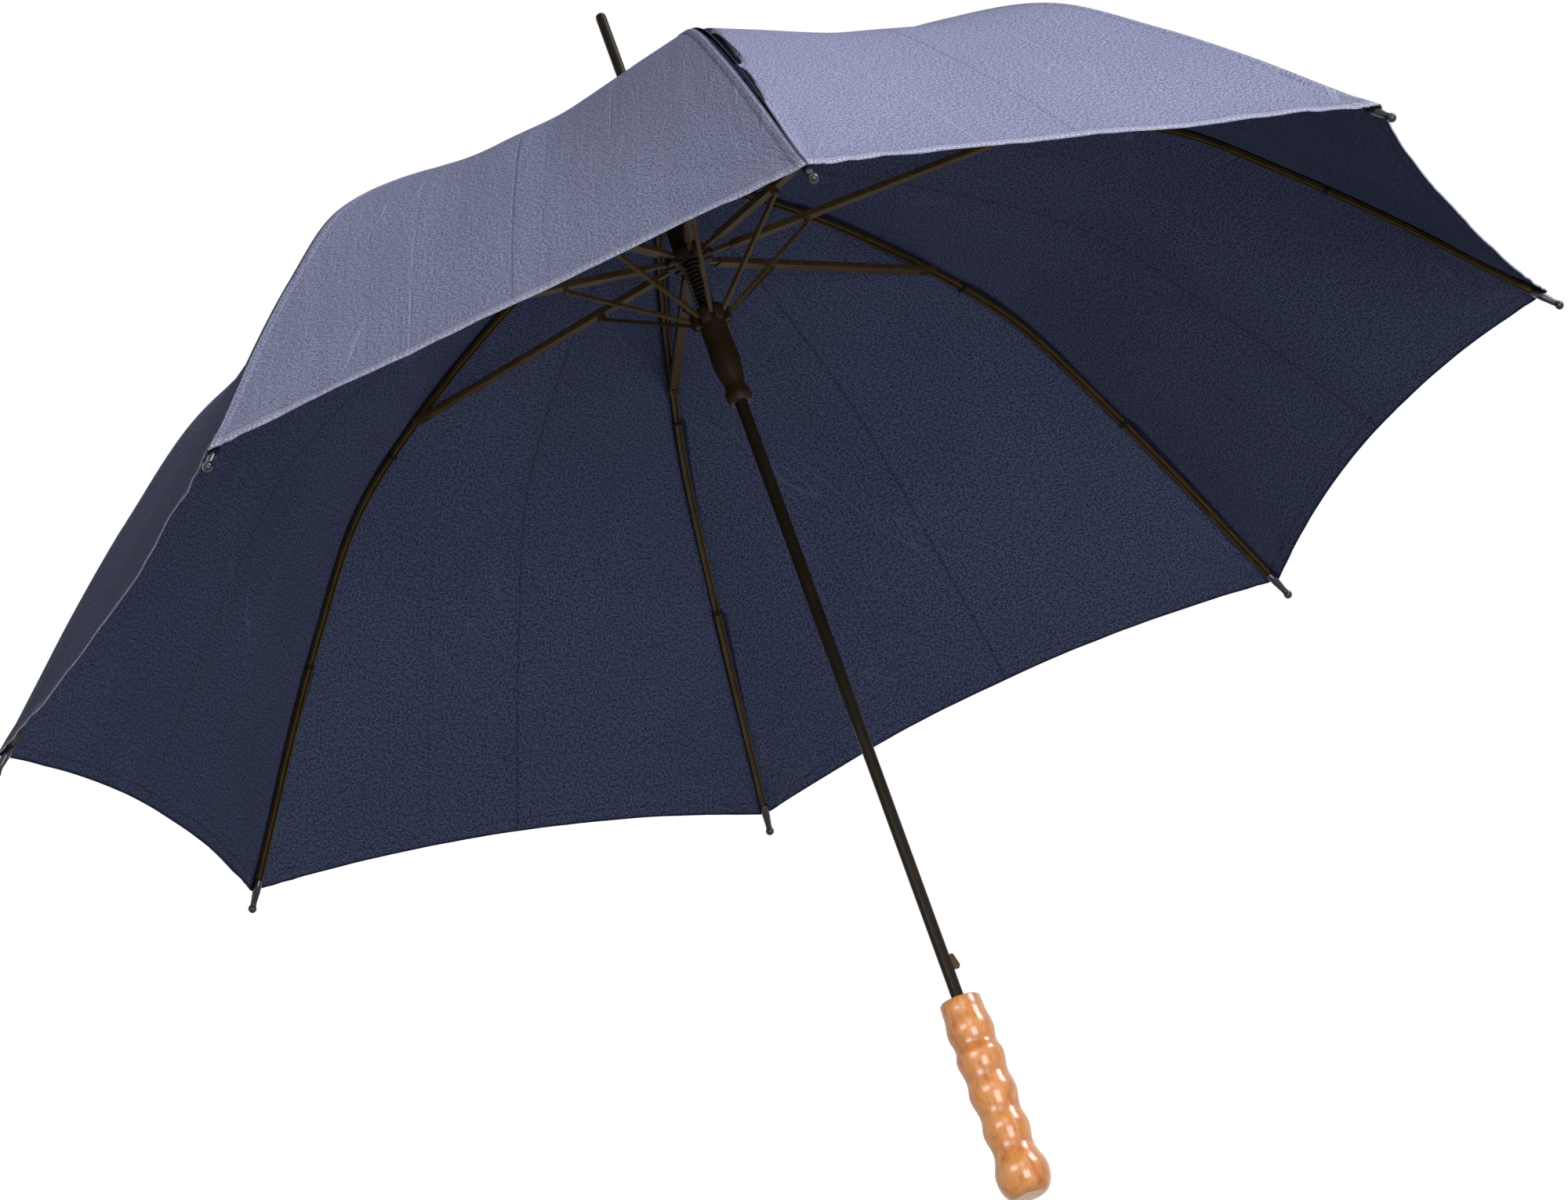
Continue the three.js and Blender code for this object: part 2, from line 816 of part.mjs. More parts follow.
function panelBody(side) {
  const rows = clothRows;
  const columns = clothColumns;
  const last = 1 - clothThickness / ribLength;
  const first = (1.5 * notchRadius - notchPivotRadius) / ribLength;
  const alongs = [0];
  for (let i = 0; i < rows; i += 1) {
    alongs.push(first + ((last - first) * i) / (rows - 1));
  }
  const position = [];
  const index = [];
  const step = 1e-4;
  for (let layer = 0; layer < 2; layer += 1) {
    for (let i = 0; i <= rows; i += 1) {
      for (let j = 0; j <= columns; j += 1) {
        const along = alongs[i];
        const width = 2 * clothPoint(along, 0.5).y;
        const edge = panelGap / 2 / width;
        const across = edge + ((0.5 - 2 * edge) * j) / columns;
        const p = clothPoint(along, across);
        const u = clothPoint(Math.min(along + step, 1), across);
        u.sub(clothPoint(Math.min(along + step, 1) - 2 * step, across));
        const v = clothPoint(along, across + step).sub(clothPoint(along, across - step));
        const n = u.cross(v).normalize();
        p.addScaledVector(n, layer * clothThickness);
        position.push(p.x, side * p.y, p.z);
      }
    }
  }
  const at = (layer, i, j) => layer * (rows + 1) * (columns + 1) + i * (columns + 1) + j;
  const quad = (a, b, c, d) => index.push(a, b, c, a, c, d);
  for (let i = 0; i < rows; i += 1) {
    for (let j = 0; j < columns; j += 1) {
      quad(at(1, i, j), at(1, i + 1, j), at(1, i + 1, j + 1), at(1, i, j + 1));
      quad(at(0, i, j), at(0, i, j + 1), at(0, i + 1, j + 1), at(0, i + 1, j));
    }
    quad(at(0, i, 0), at(0, i + 1, 0), at(1, i + 1, 0), at(1, i, 0));
    quad(at(0, i + 1, columns), at(0, i, columns), at(1, i, columns), at(1, i + 1, columns));
  }
  for (let j = 0; j < columns; j += 1) {
    quad(at(0, 0, j + 1), at(0, 0, j), at(1, 0, j), at(1, 0, j + 1));
    quad(at(0, rows, j), at(0, rows, j + 1), at(1, rows, j + 1), at(1, rows, j));
  }
  const geometry = new THREE.BufferGeometry();
  geometry.setAttribute('position', new THREE.Float32BufferAttribute(position, 3));
  geometry.setIndex(index);
  return outward(geometry);
}

// the scene graph
const umbrella = new THREE.Group();
umbrella.add(named('shaft', shaftBody(), surface(0x17120f, 0.35, 0.7)));
umbrella.add(named('handle', handleBody(), surface(0xb9702f, 0.25, 0)));
umbrella.add(named('ferrule', ferruleBody(), surface(0x201c1a, 0.35, 0.5)));
umbrella.add(named('crown_cap', capBody(), surface(0x26262e, 0.5, 0)));
umbrella.add(named('top_notch', notchBody(), surface(0x14110f, 0.5, 0)));
umbrella.add(named('notch_wire', wireBody(), surface(0x777470, 0.35, 1)));
umbrella.add(named('latch', latchBody(), surface(0x0f0e0d, 0.4, 0.4)));
umbrella.add(named('collar', collarBody(), surface(0x14110f, 0.45, 0)));
umbrella.add(named('opening_spring', springBody(), surface(0x3a352f, 0.35, 0.9)));
umbrella.add(named('runner', runnerBody(), surface(0x14100c, 0.4, 0)));

everyRib.forEach((angle, i) => {
  const number = i + 1;
  const arm = new THREE.Group();
  arm.rotation.z = angle;
  arm.add(named(`rib_${number}`, ribBody(), surface(0x1a1512, 0.4, 0.7)));
  arm.add(named(`tip_${number}`, tipBody(), surface(0x2a2a2c, 0.3, 0.2)));
  arm.add(named(`stretcher_${number}`, stretcherBody(), surface(0x1a1512, 0.4, 0.7)));
  arm.add(named(`link_${number}`, linkBody(), surface(0x1a1512, 0.4, 0.7)));
  arm.add(named(`panel_${number}_left`, panelBody(1), surface(0x1d2440, 0.8, 0)));
  arm.add(named(`panel_${number}_right`, panelBody(-1), surface(0x1d2440, 0.8, 0)));
  umbrella.add(arm);
});

export default umbrella;
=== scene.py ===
"""Looks of the opened stick umbrella: cloth, steel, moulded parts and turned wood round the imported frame."""
import json
import math

import bmesh
import bpy
import numpy as np
from mathutils import Matrix, Vector, noise

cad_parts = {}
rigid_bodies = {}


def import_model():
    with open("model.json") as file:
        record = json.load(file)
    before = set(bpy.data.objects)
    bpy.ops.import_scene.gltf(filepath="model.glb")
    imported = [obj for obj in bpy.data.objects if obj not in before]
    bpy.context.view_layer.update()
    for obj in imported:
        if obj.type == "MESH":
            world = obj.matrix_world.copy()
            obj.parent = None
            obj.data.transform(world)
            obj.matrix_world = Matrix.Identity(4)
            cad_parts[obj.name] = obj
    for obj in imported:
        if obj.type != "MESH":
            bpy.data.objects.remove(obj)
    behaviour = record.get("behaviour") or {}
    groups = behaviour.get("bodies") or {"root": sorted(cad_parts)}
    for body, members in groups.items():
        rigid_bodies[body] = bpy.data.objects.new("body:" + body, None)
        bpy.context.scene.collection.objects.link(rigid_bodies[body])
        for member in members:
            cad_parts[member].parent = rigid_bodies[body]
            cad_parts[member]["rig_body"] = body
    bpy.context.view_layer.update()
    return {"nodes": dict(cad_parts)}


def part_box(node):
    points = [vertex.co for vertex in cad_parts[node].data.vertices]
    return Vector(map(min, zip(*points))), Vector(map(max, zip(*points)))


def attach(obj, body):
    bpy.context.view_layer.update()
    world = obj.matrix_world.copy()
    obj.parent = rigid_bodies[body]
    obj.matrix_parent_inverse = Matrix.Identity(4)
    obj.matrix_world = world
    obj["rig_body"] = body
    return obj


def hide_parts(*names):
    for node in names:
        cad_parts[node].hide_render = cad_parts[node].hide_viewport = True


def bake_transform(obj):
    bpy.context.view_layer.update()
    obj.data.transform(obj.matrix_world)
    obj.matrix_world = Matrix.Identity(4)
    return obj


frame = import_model()
scene = bpy.context.scene
MM = 0.001
RIBS = 8
TURN = 2 * math.pi / RIBS

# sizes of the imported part, in millimetres
CANOPY_RADIUS = 511.0
CANOPY_RISE = 254.0
RIM_HEIGHT = 467.0
RIB_LINE = (
    (0.0196, 1.0), (0.118, 0.997), (0.284, 0.957), (0.4932, 0.8465), (0.6383, 0.7203),
    (0.7595, 0.5102), (0.8583, 0.3122), (0.9294, 0.1559), (1.0, 0.0),
)
RIB_WIDTH = 4.4
RIB_DEPTH = 3.5
RIB_WALL = 0.8
TIP_RADIUS = 2.75
TIP_REACH = 14.0
TIP_SOCKET = 9.0
TIP_BALL = 3.0
NOTCH_PIVOT_RADIUS = RIB_LINE[0][0] * CANOPY_RADIUS
NOTCH_RADIUS = 13.5
NOTCH_TOP = RIM_HEIGHT + CANOPY_RISE + 4.5
NOTCH_PIVOT = RIM_HEIGHT + CANOPY_RISE
CLOTH_THICKNESS = 0.45
CROWN_HOLE = 6.5
HANDLE_HEIGHT = 132.0
HANDLE_BOTTOM = 8.5
HANDLE_KNOB = (15.1, 17.2)
HANDLE_VALLEYS = ((32.5, 13.3), (56.1, 13.3), (80.6, 13.8), (102.0, 13.7))
HANDLE_CRESTS = ((44.9, 15.0), (69.5, 15.3), (93.3, 15.4), (111.4, 15.1))
HANDLE_NECK = (125.0, 13.5)
HANDLE_RIM = 13.2
HANDLE_BORE = 4.3
WOOD_UNDER_SHAFT = 42.0

# the sewn cloth, in millimetres
WELT_WIDTH = 6.0
WELT_HEIGHT = 0.45
GROOVE_DEPTH = 3.4
GROOVE_WIDTH = 7.2
TIP_PULL = 1.7
LONG_FOLD = 2.2
HEM_RIPPLE = 0.7
HEM_WIDTH = 9.0

# the cloth's marks, in metres as its materials take them
THREAD_PITCH = 0.00042
STITCH_PITCH = 0.0034
HEM_BAND = 0.0092
HEM_FOLD = 0.0089
# width of the painted shadow in an open seam
SEAM_SHADOW_WIDTH = 0.0078
PRESSED_FOLD = 0.062
FIRST_TIE_RUN = 0.2755
TIE_SPACING = 0.156

# where the two ties of a rib sit, as shares of its length
TIE_SHARES = {"a": 0.47, "b": 0.735}

# how the sewn cloth differs from rib to rib and from gore to gore, from rib 1 on: slack and sag in millimetres,
# the slack's end and the hem's arch as shares of the rib's length, and the seam's opening from 0 to 1
RIDGE_SLACK = (6.0, 3.6, 1.2, 0.8, 0.8, 0.8, 0.8, 3.4)
RIDGE_END = (0.98, 0.66, 0.66, 0.66, 0.66, 0.66, 0.66, 0.66)
SEAM_OPENING = (1.0, 0.2, 0.2, 0.15, 0.2, 0.15, 0.2, 0.2)
GORE_SAG = (6.0, 6.0, 6.5, 6.0, 6.0, 6.0, 9.0, 7.0)
HEM_ARCH = (0.029, 0.019, 0.038, 0.034, 0.029, 0.029, 0.027, 0.031)


# the rib's line: a centripetal curve through the named points, measured along its length
def rib_samples():
    points = np.array([(r * CANOPY_RADIUS, RIM_HEIGHT + z * CANOPY_RISE) for r, z in RIB_LINE])
    padded = np.vstack([2 * points[0] - points[1], points, 2 * points[-1] - points[-2]])
    out = []
    for i in range(len(points) - 1):
        p0, p1, p2, p3 = padded[i:i + 4]
        d0, d1, d2 = (np.linalg.norm(b - a) ** 0.5 for a, b in ((p0, p1), (p1, p2), (p2, p3)))
        t1 = ((p1 - p0) / d0 - (p2 - p0) / (d0 + d1) + (p2 - p1) / d1) * d1
        t2 = ((p2 - p1) / d1 - (p3 - p1) / (d1 + d2) + (p3 - p2) / d2) * d1
        for t in np.linspace(0, 1, 80, endpoint=False):
            square = (3 * (p2 - p1) - 2 * t1 - t2) * t ** 2
            cube = (2 * (p1 - p2) + t1 + t2) * t ** 3
            out.append(p1 + t1 * t + square + cube)
    out.append(points[-1])
    return np.array(out)


RIB_POINTS = rib_samples()
RIB_RUN = np.r_[0, np.cumsum(np.linalg.norm(np.diff(RIB_POINTS, axis=0), axis=1))]
RIB_LENGTH = RIB_RUN[-1]


def rib_point(share):
    run = np.clip(share, 0, 1) * RIB_LENGTH
    return np.array([np.interp(run, RIB_RUN, RIB_POINTS[:, 0]), np.interp(run, RIB_RUN, RIB_POINTS[:, 1])])


def rib_tangent(share):
    step = 3 / RIB_LENGTH
    a = rib_point(max(share - step, 0))
    b = rib_point(min(share + step, 1))
    return (b - a) / np.linalg.norm(b - a)


def smooth(x):
    t = min(max(x, 0.0), 1.0)
    return t * t * (3 - 2 * t)


# underside of the cloth over the rib, as radius and height
def cloth_over_rib(share):
    p = rib_point(share)
    t = rib_tangent(share)
    n = np.array([-t[1], t[0]])
    near_tip = smooth((share * RIB_LENGTH - (RIB_LENGTH - 24)) / 12)
    over_edge = RIB_WIDTH / 2 * math.tan(TURN / 2) * n[0]
    lift = RIB_DEPTH / 2 + 0.5 + over_edge + (TIP_RADIUS - RIB_DEPTH / 2) * near_tip
    r, z = p + n * lift
    crown = 1 - smooth((r - NOTCH_RADIUS - 0.3) / 55)
    return r, z + max(NOTCH_TOP + 0.3 - z, 0) * crown, n


def seam_opening(rib, along):
    """How far the seam over a rib gapes, from 0 to 1: widest above the outer tie, less below it."""
    high = smooth((along - 0.4) / 0.08) * smooth((0.715 - along) / 0.014)
    low = 0.5 * smooth((along - 0.715) / 0.012) * smooth((0.9 - along) / 0.14)
    return SEAM_OPENING[rib % RIBS] * (high + low)


def cloth_point(gore, along, across):
    """A point of the gore that starts at rib gore (0 to 7), in its own turned frame, in millimetres."""
    bow = 4 * across * (1 - across)
    share = along * (1 - HEM_ARCH[gore] * bow)
    r, z, n = cloth_over_rib(share)
    crown = 1 - smooth(along * 3)
    radius = max(r, CROWN_HOLE) - (NOTCH_PIVOT_RADIUS - CROWN_HOLE) * crown
    sag = GORE_SAG[gore] * bow * smooth(along * 2.5)
    # the cloth stands off the rib high on the ridge, and the seam is a welt with a groove along it
    rib = gore if across < 0.5 else gore + 1
    near = abs(1 - 2 * min(max(across, 0.0), 1.0))
    slack = RIDGE_SLACK[rib % RIBS] * smooth(along / 0.16) * smooth((RIDGE_END[rib % RIBS] - along) / 0.3)
    sag -= slack * smooth(near * 1.3 - 0.2)
    beside = min(across, 1 - across) * 2 * radius * math.sin(TURN / 2)
    welt = smooth((WELT_WIDTH - beside) / 1.2) * smooth((beside - 0.2) / 0.8) * smooth(along * 6)
    sag -= WELT_HEIGHT * welt
    if across < 0.5:
        opening = seam_opening(rib, along)
        groove = smooth((beside - 0.5) / 0.6) * smooth((0.8 + GROOVE_WIDTH * opening - beside) / 0.8)
        sag += GROOVE_DEPTH * opening * groove
    half = TURN / 2
    # pulls that fan out of the two tips, and long soft folds down the cloth
    held = min(across, 1 - across) * 2
    to_hem = (1.02 - along) * RIB_LENGTH
    fan = math.atan2(beside, to_hem + 4)
    far = math.hypot(beside, to_hem)
    side = 0.37 if across > 0.5 else 0.0
    pull = noise.noise(Vector((fan * 9 + 7 * gore + side * (1 - held), gore * 3.1, 0.4)))
    pull *= TIP_PULL * smooth(far / 26) * smooth(2.2 - far / 60) * smooth(held * 12)
    fold = noise.noise(Vector((across * 5 + gore * 9.7, along * 1.3, 2.0)))
    fold *= LONG_FOLD * bow * smooth(along * 2)
    edge = noise.noise(Vector((across * 26, gore * 5.3, 5.0))) * HEM_RIPPLE * smooth((along - 0.93) * 14) * bow
    sag -= pull + fold + edge
    return Vector((
        radius * (1 - across * (1 - math.cos(TURN))) - sag * n[0] * math.cos(half),
        radius * math.sin(TURN) * across - sag * n[0] * math.sin(half),
        z - sag * n[1],
    ))


# mesh helpers
def new_object(name, bm, materials, body=None, angle=40):
    mesh = bpy.data.meshes.new(name)
    bm.normal_update()
    bm.to_mesh(mesh)
    bm.free()
    for polygon in mesh.polygons:
        polygon.use_smooth = True
    mesh.set_sharp_from_angle(angle=math.radians(angle))
    piece = bpy.data.objects.new(name, mesh)
    scene.collection.objects.link(piece)
    for item in materials:
        mesh.materials.append(item)
    if body:
        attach(piece, body)
    return piece


def lofted(bm, rings, close_ends=True):
    """Rings of points, in metres, joined into a tube."""
    made = [[bm.verts.new(p) for p in ring] for ring in rings]
    for a, b in zip(made, made[1:]):
        for j in range(len(a)):
            k = (j + 1) % len(a)
            bm.faces.new((a[j], a[k], b[k], b[j]))
    if close_ends:
        bm.faces.new(list(reversed(made[0])))
        bm.faces.new(made[-1])
    bmesh.ops.recalc_face_normals(bm, faces=bm.faces)


def turned(bm, profile, sides):
    """A turned body. Its radius and height pairs, in millimetres, start and end on the axis or make a loop."""
    rings = []
    for r, z in profile:
        r = max(r, 1e-4)
        rings.append([
            (r * MM * math.cos(2 * math.pi * k / sides), r * MM * math.sin(2 * math.pi * k / sides), z * MM)
            for k in range(sides)
        ])
    lofted(bm, rings, close_ends=False)
    bmesh.ops.remove_doubles(bm, verts=bm.verts, dist=2e-6)
    bmesh.ops.recalc_face_normals(bm, faces=bm.faces)


def circle(count):
    """Angles of so many even steps round a circle."""
    return np.linspace(0, 2 * math.pi, count, endpoint=False)


def at_rib(bm, number):
    bmesh.ops.rotate(bm, verts=bm.verts, cent=(0, 0, 0), matrix=Matrix.Rotation((number - 1) * TURN, 3, "Z"))


def softened(node, name, edge, material):
    """A copy of a rigid solid with its edges eased, which rides where the solid does and stands for it."""
    source = frame["nodes"][node]
    bm = bmesh.new()
    bm.from_mesh(source.data)
    bmesh.ops.remove_doubles(bm, verts=bm.verts, dist=3e-6)
    bmesh.ops.dissolve_limit(bm, angle_limit=math.radians(0.8), verts=bm.verts, edges=bm.edges)
    sharp = [e for e in bm.edges if len(e.link_faces) == 2 and e.calc_face_angle(0) > math.radians(28)]
    bmesh.ops.bevel(
        bm, geom=sharp, offset=edge * MM, segments=2, affect="EDGES", profile=0.6, clamp_overlap=True,
    )
    bmesh.ops.recalc_face_normals(bm, faces=bm.faces)
    piece = new_object(name, bm, [material], source["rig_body"], angle=32)
    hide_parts(node)


# node helpers
class Shade:
    def __init__(self, name):
        self.material = bpy.data.materials.new(name)
        self.material.use_nodes = True
        self.tree = self.material.node_tree
        self.shader = self.tree.nodes["Principled BSDF"]

    def node(self, kind, **facts):
        made = self.tree.nodes.new(kind)
        for key, value in facts.items():
            setattr(made, key, value)
        return made

    def join(self, a, b):
        self.tree.links.new(a, b)

    def put(self, socket, value):
        if isinstance(value, bpy.types.NodeSocket):
            self.join(value, socket)
        else:
            socket.default_value = value

    def math(self, operation, a, b=0.0, clamp=False):
        made = self.node("ShaderNodeMath", operation=operation, use_clamp=clamp)
        self.put(made.inputs[0], a)
        self.put(made.inputs[1], b)
        return made.outputs[0]

    def uv(self, layer):
        made = self.node("ShaderNodeUVMap", uv_map=layer)
        parts = self.node("ShaderNodeSeparateXYZ")
        self.join(made.outputs[0], parts.inputs[0])
        return parts.outputs[0], parts.outputs[1]

    def vector(self, x, y, z=0.0):
        made = self.node("ShaderNodeCombineXYZ")
        self.put(made.inputs[0], x)
        self.put(made.inputs[1], y)
        self.put(made.inputs[2], z)
        return made.outputs[0]

    def place(self, scale):
        """Object coordinates times a scale along each axis."""
        source = self.node("ShaderNodeTexCoord")
        made = self.node("ShaderNodeMapping")
        made.inputs["Scale"].default_value = scale
        self.join(source.outputs["Object"], made.inputs[0])
        return made.outputs[0]

    def noise(self, vector, scale=1.0, detail=3.0, roughness=0.5):
        made = self.node("ShaderNodeTexNoise")
        self.join(vector, made.inputs["Vector"])
        made.inputs["Scale"].default_value = scale
        made.inputs["Detail"].default_value = detail
        made.inputs["Roughness"].default_value = roughness
        return made.outputs[0]

    def range(self, value, low, high, to_low=0.0, to_high=1.0):
        made = self.node("ShaderNodeMapRange")
        self.put(made.inputs[0], value)
        for i, number in enumerate((low, high, to_low, to_high)):
            made.inputs[i + 1].default_value = number
        return made.outputs[0]

    def mix(self, factor, a, b):
        made = self.node("ShaderNodeMix", data_type="RGBA")
        self.put(made.inputs[0], factor)
        self.put(made.inputs[6], a)
        self.put(made.inputs[7], b)
        return made.outputs[2]

    def ramp(self, value, stops):
        made = self.node("ShaderNodeValToRGB")
        self.join(value, made.inputs[0])
        elements = made.color_ramp.elements
        while len(elements) < len(stops):
            elements.new(0.5)
        for element, (where, colour) in zip(elements, stops):
            element.position = where
            element.color = colour
        return made.outputs[0]

    def bump(self, height, distance, strength=1.0, before=None):
        made = self.node("ShaderNodeBump")
        made.inputs["Strength"].default_value = strength
        made.inputs["Distance"].default_value = distance
        self.join(height, made.inputs["Height"])
        if before is not None:
            self.join(before, made.inputs["Normal"])
        return made.outputs[0]

    def finish(self, **sockets):
        for name, value in sockets.items():
            self.put(self.shader.inputs[name.replace("_", " ")], value)
        return self.material


def rgb(r, g, b):
    """An sRGB colour of 0 to 255 as the linear colour that a socket takes."""
    out = [((c / 255 + 0.055) / 1.055) ** 2.4 if c > 10 else c / 255 / 12.92 for c in (r, g, b)]
    return (*out, 1.0)


def cloth_material(name, plain, dark, thread, line, sheen, outside):
    # thread, the pale colour, also paints highlights along pulls, creases and folds; line, the dark colour,
    # also paints shade in fans, puckers, folds and beside the seams
    s = Shade(name)
    u, v = s.uv("weave")
    seam, hem = s.uv("edges")
    opening, gore = s.uv("marks")
    seed = s.math("MULTIPLY", gore, 40.0)

    def at(along_u, along_v):
        return s.vector(s.math("MULTIPLY", u, along_u), s.math("MULTIPLY", v, along_v), seed)

    def stripe(value, where, half, soft=0.4):
        off = s.math("ABSOLUTE", s.math("SUBTRACT", value, where))
        return s.range(off, half, half * soft)

    def both(a, b):
        return s.math("MULTIPLY", a, b)

    # woven ground: threads, slubs and a speckle
    pitch = 2 * math.pi / THREAD_PITCH
    weave = both(s.math("SINE", both(u, pitch)), s.math("SINE", both(v, pitch)))
    slub = s.math("ADD", s.noise(at(1500, 260), detail=2), s.noise(at(260, 1500), detail=2))
    fine = s.noise(at(1150, 1150), detail=1, roughness=0.6)
    coarse = s.noise(at(600, 620), detail=1, roughness=0.6)
    grain = s.range(s.math("ADD", both(fine, 0.45), both(coarse, 0.55)), 0.45, 0.55)
    lint = s.range(s.noise(at(610, 590), detail=0), 0.79, 0.83)
    cloud = s.noise(at(9, 7), detail=4)

    # stitching, folded edges and pressed folds, the pressed folds also as painted shade and painted highlight
    dash_v = s.range(s.math("SINE", both(v, 2 * math.pi / STITCH_PITCH)), -0.5, -0.1)
    dash_u = s.range(s.math("SINE", both(u, 2 * math.pi / STITCH_PITCH)), -0.5, -0.1)
    hem_stitch = both(stripe(hem, 0.0016, 0.0011), dash_u)
    seam_stitch = both(stripe(seam, 0.0021, 0.0007), dash_v)
    hem_band = s.range(hem, HEM_BAND, 0.0082)
    hem_line = stripe(hem, HEM_FOLD, 0.0005)
    seam_line = s.range(seam, 0.0011, 0.0004)
    seam_step = s.range(seam, 0.0064, 0.0056)
    fold_line = stripe(u, 0.0, 0.0012)
    second_fold = both(stripe(s.math("ABSOLUTE", u), PRESSED_FOLD, 0.0008), s.range(cloud, 0.42, 0.56))

    # pulls that fan out from the tips, puckers along the seam and slanting creases, as bumps and as painted
    # highlight on their ridges and painted shade in their hollows
    angle = s.math("ARCTAN2", seam, s.math("ADD", hem, 0.004))
    reach = s.math("SQRT", s.math("ADD", both(seam, seam), both(hem, hem)))
    side_seed = s.math("ADD", seed, both(s.math("SIGN", u), 3.0))
    fan = s.noise(s.vector(both(angle, 11.0), both(reach, 7.0), side_seed), detail=2)
    fan_highlight = both(
        s.range(s.math("ABSOLUTE", s.math("SUBTRACT", fan, 0.5)), 0.045, 0.0),
        both(s.range(reach, 0.052, 0.012), s.range(reach, 0.004, 0.012)),
    )
    fan_shade = both(
        s.range(s.math("ABSOLUTE", s.math("SUBTRACT", fan, 0.6)), 0.035, 0.0),
        both(s.range(reach, 0.06, 0.015), s.range(reach, 0.004, 0.012)),
    )
    slanted_run = s.math("SUBTRACT", v, both(seam, 0.8))
    pucker = both(
        s.noise(s.vector(both(u, 30), both(slanted_run, 210), seed), detail=2),
        s.range(seam, 0.026, 0.002),
    )
    pucker_shade = both(s.range(pucker, 0.56, 0.68), s.range(seam, 0.03, 0.008))
    hem_pucker = both(s.noise(s.vector(both(u, 190), both(v, 25), seed), detail=2), s.range(hem, 0.016, 0.003))
    slant_u = s.math("ADD", u, both(v, 0.35))
    slant_v = s.math("SUBTRACT", v, both(u, 0.35))
    slant = s.noise(s.vector(both(slant_u, 34), both(slant_v, 4.5), seed), detail=1)
    crease_highlight = both(
        s.range(s.math("ABSOLUTE", s.math("SUBTRACT", slant, 0.5)), 0.012, 0.0),
        s.range(s.noise(at(7, 6), detail=1), 0.56, 0.66),
    )
    crease = s.noise(at(46, 2.6), detail=5, roughness=0.62)
    pulls = s.math("ADD", fan_highlight, crease_highlight, clamp=True)

    tone = s.mix(grain, dark, plain)
    tone = s.mix(s.range(cloud, 0.35, 0.75, 0.0, 0.2), tone, dark)
    # painted highlight along the pulls and creases, painted shade beside the fans and in the puckers
    tone = s.mix(both(pulls, 0.32), tone, thread)
    tone = s.mix(both(fan_shade, 0.4), tone, line)
    tone = s.mix(both(pucker_shade, 0.3), tone, line)
    # painted shade in the pressed folds; the second fold is a painted highlight outside and painted shade
    # inside
    tone = s.mix(both(fold_line, 0.2 if outside else 0.34), tone, line)
    tone = s.mix(both(second_fold, 0.22), tone, thread if outside else line)
    tone = s.mix(both(lint, 0.6), tone, thread)
    if outside:
        tone = s.mix(both(hem_band, 0.3), tone, thread)
        tone = s.mix(both(hem_line, 0.45), tone, line)
        tone = s.mix(both(hem_stitch, 0.95), tone, rgb(214, 216, 228))
        tone = s.mix(both(seam_stitch, 0.6), tone, thread)
        tone = s.mix(both(seam_line, 0.85), tone, line)
        # the open seam over the rib is painted near black: painted shade in the gap
        past_edge = s.math("SUBTRACT", seam, both(opening, SEAM_SHADOW_WIDTH))
        painted_seam_shadow = both(s.range(past_edge, 0.0002, -0.0005), s.range(opening, 0.24, 0.3))
        painted_seam_shadow = both(painted_seam_shadow, s.range(seam, 0.0002, 0.0006))
        tone = s.mix(painted_seam_shadow, tone, rgb(8, 8, 12))
    else:
        tone = s.mix(both(s.range(hem, 0.0022, 0.0012), 0.7), tone, line)
        tone = s.mix(both(hem_line, 0.35), tone, line)
        # the seam allowance, which stands out beside the rib after each tie, as a dark band of painted shade,
        # wider on one side of the rib
        past_tie = s.math("FRACT", both(s.math("SUBTRACT", v, FIRST_TIE_RUN), 1 / TIE_SPACING))
        grows = s.range(past_tie, 0.0, 0.05, 0.0, 0.0042)
        seam_shade_width = s.math("MINIMUM", grows, s.range(past_tie, 0.05, 0.75, 0.0042, 0.0))
        seam_shade_width = s.math("ADD", both(seam_shade_width, s.range(u, -0.0001, 0.0001, 0.3, 1.0)), 0.0029)
        tone = s.mix(both(s.range(s.math("SUBTRACT", seam, seam_shade_width), 0.0004, -0.0008), 0.75), tone, line)

    relief = s.math("ADD", both(weave, 0.3), both(slub, 0.8))
    woven = s.bump(relief, 0.00012, 0.55)
    steps = s.math("ADD", both(hem_band, 0.6), both(seam_step, 0.3))
    steps = s.math("ADD", steps, both(s.math("ADD", hem_stitch, seam_stitch), 0.5))
    steps = s.math("SUBTRACT", steps, both(s.math("ADD", fold_line, second_fold), 0.35))
    edged = s.bump(steps, 0.0006, 0.7, before=woven)
    soft = s.math("ADD", both(pucker, 0.7), both(hem_pucker, 0.5))
    soft = s.math("ADD", soft, s.math("ADD", both(crease, 0.8), both(pulls, 0.5)))
    return s.finish(
        Base_Color=tone,
        Roughness=s.range(grain, 0.0, 1.0, 0.62, 0.78),
        Normal=s.bump(soft, 0.0022, 0.5, before=edged),
        Specular_IOR_Level=0.0,
        Sheen_Weight=sheen,
        Sheen_Roughness=0.45,
        Sheen_Tint=(0.62, 0.66, 0.85, 1.0),
    )


